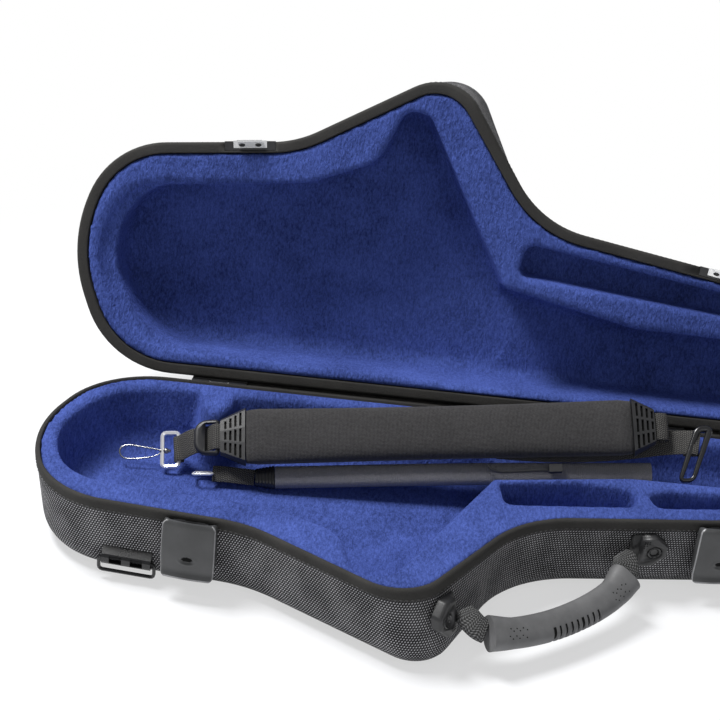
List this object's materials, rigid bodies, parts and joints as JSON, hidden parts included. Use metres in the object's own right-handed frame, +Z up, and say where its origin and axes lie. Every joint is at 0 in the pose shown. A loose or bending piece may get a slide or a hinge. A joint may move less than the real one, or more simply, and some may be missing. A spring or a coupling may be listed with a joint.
{
  "type": "alto saxophone case",
  "caption": "Open shaped case for an alto saxophone: woven cover, plush-lined hollows, leaning lid on hinges, draw latches, a carrying handle and a folded shoulder strap.",
  "frame": {"origin": "on the flat bottom of the base, below the widest run of the hollow", "axes": "+X towards the narrow neck end, -Y towards the latches and the handle, +Z up; the lid stands open"},
  "size_m": [0.6539, 0.448, 0.3337],
  "materials": {
    "woven_cover": "coarse woven nylon, charcoal with light specks",
    "rim_binding": "close woven tape, matt",
    "blue_plush": "short pile, royal blue",
    "latch_grey": "satin dark grey",
    "black_plastic": "moulded, fine grain",
    "bright_steel": "plated, bright",
    "grip_rubber": "satin grey",
    "strap_webbing": "woven webbing, black",
    "strap_pad": "smooth cloth, black"
  },
  "bodies": {
    "base": {"base_shell": "woven_cover", "base_binding": "rim_binding", "base_liner": "blue_plush", "latch_mount_left": "black_plastic", "hinge_base_leaf_left": "bright_steel", "hinge_pin_left": "bright_steel", "handle_bracket_left": "black_plastic", "handle_rivet_left": "black_plastic", "strap_anchor_left": "black_plastic", "latch_mount_right": "black_plastic", "hinge_base_leaf_right": "bright_steel", "hinge_pin_right": "bright_steel", "handle_bracket_right": "black_plastic", "handle_rivet_right": "black_plastic", "strap_anchor_right": "black_plastic", "shoulder_pad": "strap_pad", "pad_cap_left": "black_plastic", "pad_cap_right": "black_plastic", "pad_end_loop": "black_plastic", "strap_tab_left": "strap_webbing", "strap_square_ring": "bright_steel", "snap_hook_wire": "bright_steel", "lower_sleeve": "strap_pad", "sleeve_cap": "black_plastic", "sleeve_tab": "strap_webbing", "sleeve_slide_ring": "bright_steel", "strap_tab_right": "strap_webbing", "long_strap": "strap_webbing", "strap_end_buckle": "black_plastic", "wire_hook": "black_plastic", "wire_hook_clip": "black_plastic"},
    "lid": {"lid_shell": "woven_cover", "lid_binding": "rim_binding", "lid_liner": "blue_plush", "keeper_frame_left": "black_plastic", "keeper_frame_right": "black_plastic", "keeper_plate_left": "bright_steel", "keeper_plate_right": "bright_steel", "hinge_lid_leaf_left": "bright_steel", "hinge_lid_leaf_right": "bright_steel"},
    "handle": {"handle_grip": "grip_rubber", "handle_strap_left": "strap_webbing", "handle_strap_right": "strap_webbing"},
    "lever_left": {"latch_lever_left": "latch_grey", "latch_pin_left": "bright_steel"},
    "claw_left": {"latch_claw_left": "bright_steel"},
    "ring_left": {"strap_anchor_ring_left": "black_plastic"},
    "lever_right": {"latch_lever_right": "latch_grey", "latch_pin_right": "bright_steel"},
    "claw_right": {"latch_claw_right": "bright_steel"},
    "ring_right": {"strap_anchor_ring_right": "black_plastic"}
  },
  "joints": [
    {"name": "lid_hinge", "type": "hinge", "parent": "base", "child": "lid", "pos_m": [0, 0.1046, 0.0683], "axis": [1, 0, 0], "range_deg": [0, 108]},
    {"name": "lever_left_pivot", "type": "hinge", "parent": "base", "child": "lever_left", "pos_m": [-0.1849, -0.11482, 0.069], "axis": [-0.9943, 0.1071, 0], "range_deg": [0, 75]},
    {"name": "claw_left_pivot", "type": "hinge", "parent": "lever_left", "child": "claw_left", "pos_m": [-0.18488, -0.11462, 0.059], "axis": [-0.9943, 0.1071, 0], "range_deg": [-12, 0], "stiffness_Nm_per_rad": 0.005},
    {"name": "lever_right_pivot", "type": "hinge", "parent": "base", "child": "lever_right", "pos_m": [0.23888, -0.04507, 0.069], "axis": [-0.9875, -0.1573, 0], "range_deg": [0, 75]},
    {"name": "claw_right_pivot", "type": "hinge", "parent": "lever_right", "child": "claw_right", "pos_m": [0.23885, -0.04487, 0.059], "axis": [-0.9875, -0.1573, 0], "range_deg": [-12, 0], "stiffness_Nm_per_rad": 0.005},
    {"name": "handle_swing", "type": "hinge", "parent": "base", "child": "handle", "pos_m": [0.0289, -0.1549, 0.047], "axis": [-0.798, -0.6027, 0], "range_deg": [-12, 85]},
    {"name": "ring_left_swing", "type": "hinge", "parent": "base", "child": "ring_left", "pos_m": [-0.23495, -0.1033, 0.021], "axis": [-0.9943, 0.1071, 0], "range_deg": [0, 160]},
    {"name": "ring_right_swing", "type": "hinge", "parent": "base", "child": "ring_right", "pos_m": [0.28392, -0.03172, 0.021], "axis": [-0.9875, -0.1573, 0], "range_deg": [0, 160]}
  ]
}
